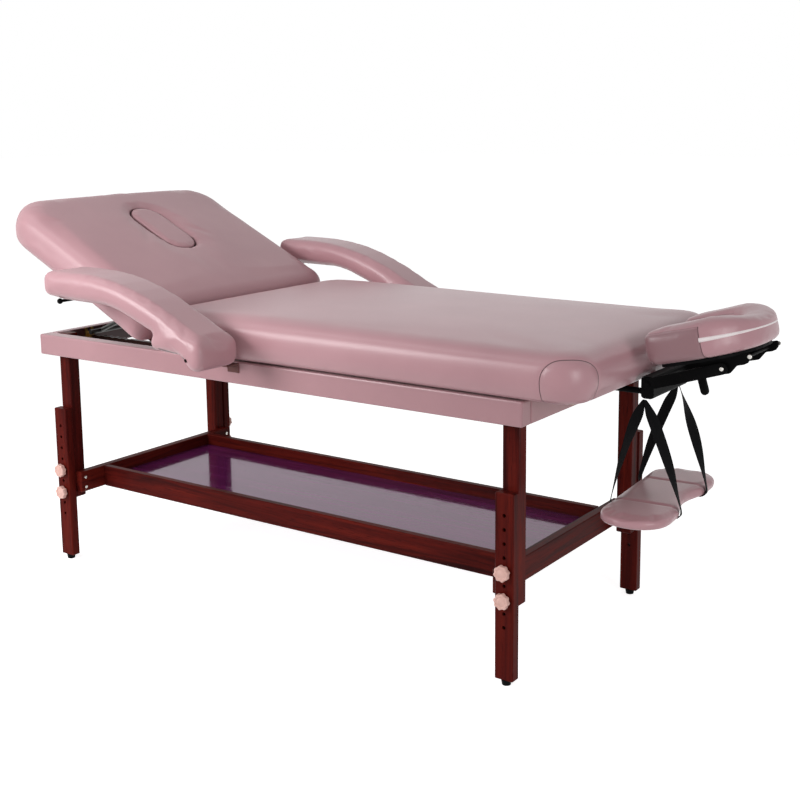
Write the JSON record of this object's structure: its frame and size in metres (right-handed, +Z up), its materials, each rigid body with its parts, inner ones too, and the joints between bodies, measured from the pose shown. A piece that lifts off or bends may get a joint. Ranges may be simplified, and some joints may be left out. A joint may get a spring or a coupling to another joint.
{
  "type": "massage table",
  "caption": "Stationary padded massage table with lift back, swing arms, height-adjustable wooden legs, under-shelf, tilting face cradle and hanging arm sling.",
  "frame": {"origin": "bottom centre of the bounding box, on the floor", "axes": "+X along the table towards the face cradle, +Y across the table, +Z up"},
  "size_m": [2.0744, 1.06, 1.0255],
  "materials": {
    "vinyl": "satin",
    "mahogany": "gloss",
    "board": "matte",
    "steel": "satin",
    "brass": "satin",
    "black_metal": "satin",
    "black_plastic": "satin",
    "webbing": "matte",
    "knob": "satin",
    "aluminium": "satin"
  },
  "bodies": {
    "frame": {"apron_rail_near": "vinyl", "apron_rail_far": "vinyl", "apron_rail_back": "vinyl", "apron_rail_head": "vinyl", "hinge_beam": "board", "prop_beam": "board", "deck_board": "board", "main_cushion": "vinyl", "hinge_leaf_fixed": "steel", "hinge_pin": "steel", "prop_rack_near": "brass", "prop_rack_far": "brass", "arm_bracket_near": "black_metal", "arm_bracket_far": "black_metal", "leg_post_back_near": "mahogany", "leg_post_back_far": "mahogany", "leg_post_head_near": "mahogany", "leg_post_head_far": "mahogany", "shelf_rail_back": "mahogany", "shelf_rail_head": "mahogany", "shelf_rail_near": "mahogany", "shelf_rail_far": "mahogany", "shelf_panel": "mahogany"},
    "lift_back": {"back_board": "board", "back_cushion": "vinyl", "hinge_leaf_moving": "steel", "prop_hanger": "steel"},
    "plug": {"breath_plug": "vinyl"},
    "prop": {"back_prop": "steel"},
    "arm_near": {"arm_pad_near": "vinyl"},
    "arm_far": {"arm_pad_far": "vinyl"},
    "release_near": {"arm_release_near": "black_metal"},
    "release_far": {"arm_release_far": "black_metal"},
    "extension_back_near": {"leg_extension_back_near": "mahogany", "leg_glide_back_near": "black_plastic"},
    "extension_back_far": {"leg_extension_back_far": "mahogany", "leg_glide_back_far": "black_plastic"},
    "extension_head_near": {"leg_extension_head_near": "mahogany", "leg_glide_head_near": "black_plastic"},
    "extension_head_far": {"leg_extension_head_far": "mahogany", "leg_glide_head_far": "black_plastic"},
    "knob_lower_back_near": {"leg_knob_lower_back_near": "knob"},
    "knob_upper_back_near": {"leg_knob_upper_back_near": "knob"},
    "knob_lower_back_far": {"leg_knob_lower_back_far": "knob"},
    "knob_upper_back_far": {"leg_knob_upper_back_far": "knob"},
    "knob_lower_head_near": {"leg_knob_lower_head_near": "knob"},
    "knob_upper_head_near": {"leg_knob_upper_head_near": "knob"},
    "knob_lower_head_far": {"leg_knob_lower_head_far": "knob"},
    "knob_upper_head_far": {"leg_knob_upper_head_far": "knob"},
    "cradle": {"cradle_base": "black_metal", "cradle_dowel_near": "aluminium", "cradle_dowel_far": "aluminium"},
    "cradle_lift": {"cradle_lift_frame": "black_metal"},
    "cam_lever": {"cradle_cam_lever": "black_plastic"},
    "cradle_head": {"cradle_tilt_frame": "black_metal", "cradle_platform": "black_plastic", "cradle_cushion": "vinyl"},
    "sling": {"sling_pad": "vinyl", "sling_strap_near": "webbing", "sling_strap_far": "webbing"}
  },
  "joints": [
    {"name": "back_lift", "type": "hinge", "parent": "frame", "child": "lift_back", "pos_m": [-0.46409, 0, 0.747], "axis": [0, 1, 0], "range_deg": [-26.6, 35]},
    {"name": "prop_fold", "type": "hinge", "parent": "lift_back", "child": "prop", "pos_m": [-0.67237, 0, 0.73308], "axis": [0, 1, 0], "range_deg": [-68.5, 52.2]},
    {"name": "plug_lift", "type": "slide", "parent": "lift_back", "child": "plug", "axis": [0.4478, 0, 0.8942], "range_m": [0, 0.14]},
    {"name": "arm_swing_near", "type": "hinge", "parent": "frame", "child": "arm_near", "pos_m": [-0.19109, -0.461, 0.722], "axis": [0, 1, 0], "range_deg": [0, 80]},
    {"name": "arm_swing_far", "type": "hinge", "parent": "frame", "child": "arm_far", "pos_m": [-0.19109, 0.461, 0.722], "axis": [0, 1, 0], "range_deg": [0, 80]},
    {"name": "arm_release_near", "type": "slide", "parent": "arm_near", "child": "release_near", "axis": [0, 0, -1], "range_m": [0, 0.012], "stiffness_N_per_m": 200},
    {"name": "arm_release_far", "type": "slide", "parent": "arm_far", "child": "release_far", "axis": [0, 0, -1], "range_m": [0, 0.012], "stiffness_N_per_m": 200},
    {"name": "leg_back_near", "type": "slide", "parent": "frame", "child": "extension_back_near", "axis": [0, 0, 1], "range_m": [-0.1284, 0.0642]},
    {"name": "leg_back_far", "type": "slide", "parent": "frame", "child": "extension_back_far", "axis": [0, 0, 1], "range_m": [-0.1284, 0.0642]},
    {"name": "leg_head_near", "type": "slide", "parent": "frame", "child": "extension_head_near", "axis": [0, 0, 1], "range_m": [-0.1284, 0.0642]},
    {"name": "leg_head_far", "type": "slide", "parent": "frame", "child": "extension_head_far", "axis": [0, 0, 1], "range_m": [-0.1284, 0.0642]},
    {"name": "knob_lower_back_near", "type": "hinge", "parent": "extension_back_near", "child": "knob_lower_back_near", "pos_m": [-0.87559, -0.3343, 0.2007], "axis": [0, -1, 0], "continuous": true},
    {"name": "knob_upper_back_near", "type": "hinge", "parent": "extension_back_near", "child": "knob_upper_back_near", "pos_m": [-0.87559, -0.3343, 0.2649], "axis": [0, -1, 0], "continuous": true},
    {"name": "knob_lower_back_far", "type": "hinge", "parent": "extension_back_far", "child": "knob_lower_back_far", "pos_m": [-0.87559, 0.3343, 0.2007], "axis": [0, 1, 0], "continuous": true},
    {"name": "knob_upper_back_far", "type": "hinge", "parent": "extension_back_far", "child": "knob_upper_back_far", "pos_m": [-0.87559, 0.3343, 0.2649], "axis": [0, 1, 0], "continuous": true},
    {"name": "knob_lower_head_near", "type": "hinge", "parent": "extension_head_near", "child": "knob_lower_head_near", "pos_m": [0.57541, -0.3343, 0.2007], "axis": [0, -1, 0], "continuous": true},
    {"name": "knob_upper_head_near", "type": "hinge", "parent": "extension_head_near", "child": "knob_upper_head_near", "pos_m": [0.57541, -0.3343, 0.2649], "axis": [0, -1, 0], "continuous": true},
    {"name": "knob_lower_head_far", "type": "hinge", "parent": "extension_head_far", "child": "knob_lower_head_far", "pos_m": [0.57541, 0.3343, 0.2007], "axis": [0, 1, 0], "continuous": true},
    {"name": "knob_upper_head_far", "type": "hinge", "parent": "extension_head_far", "child": "knob_upper_head_far", "pos_m": [0.57541, 0.3343, 0.2649], "axis": [0, 1, 0], "continuous": true},
    {"name": "cradle_pull", "type": "slide", "parent": "frame", "child": "cradle", "axis": [1, 0, 0], "range_m": [0, 0.06]},
    {"name": "cradle_raise", "type": "hinge", "parent": "cradle", "child": "cradle_lift", "pos_m": [0.79741, 0, 0.667], "axis": [0, -1, 0], "range_deg": [-25, 6]},
    {"name": "cam_turn", "type": "hinge", "parent": "cradle_lift", "child": "cam_lever", "pos_m": [0.90223, -0.057, 0.69237], "axis": [0, -1, 0], "range_deg": [0, 75]},
    {"name": "cradle_tilt", "type": "hinge", "parent": "cradle_lift", "child": "cradle_head", "pos_m": [0.96391, 0, 0.72], "axis": [0, -1, 0], "range_deg": [-20, 6]},
    {"name": "sling_swing", "type": "hinge", "parent": "cradle", "child": "sling", "pos_m": [0.78891, 0, 0.6334], "axis": [0, 1, 0], "range_deg": [-25, 25]}
  ],
  "couplings": [
    {"joint": "prop_fold", "follows": "back_lift", "ratio": -1.94},
    {"joint": "leg_back_far", "follows": "leg_back_near", "ratio": 1},
    {"joint": "leg_head_near", "follows": "leg_back_near", "ratio": 1},
    {"joint": "leg_head_far", "follows": "leg_back_near", "ratio": 1}
  ]
}
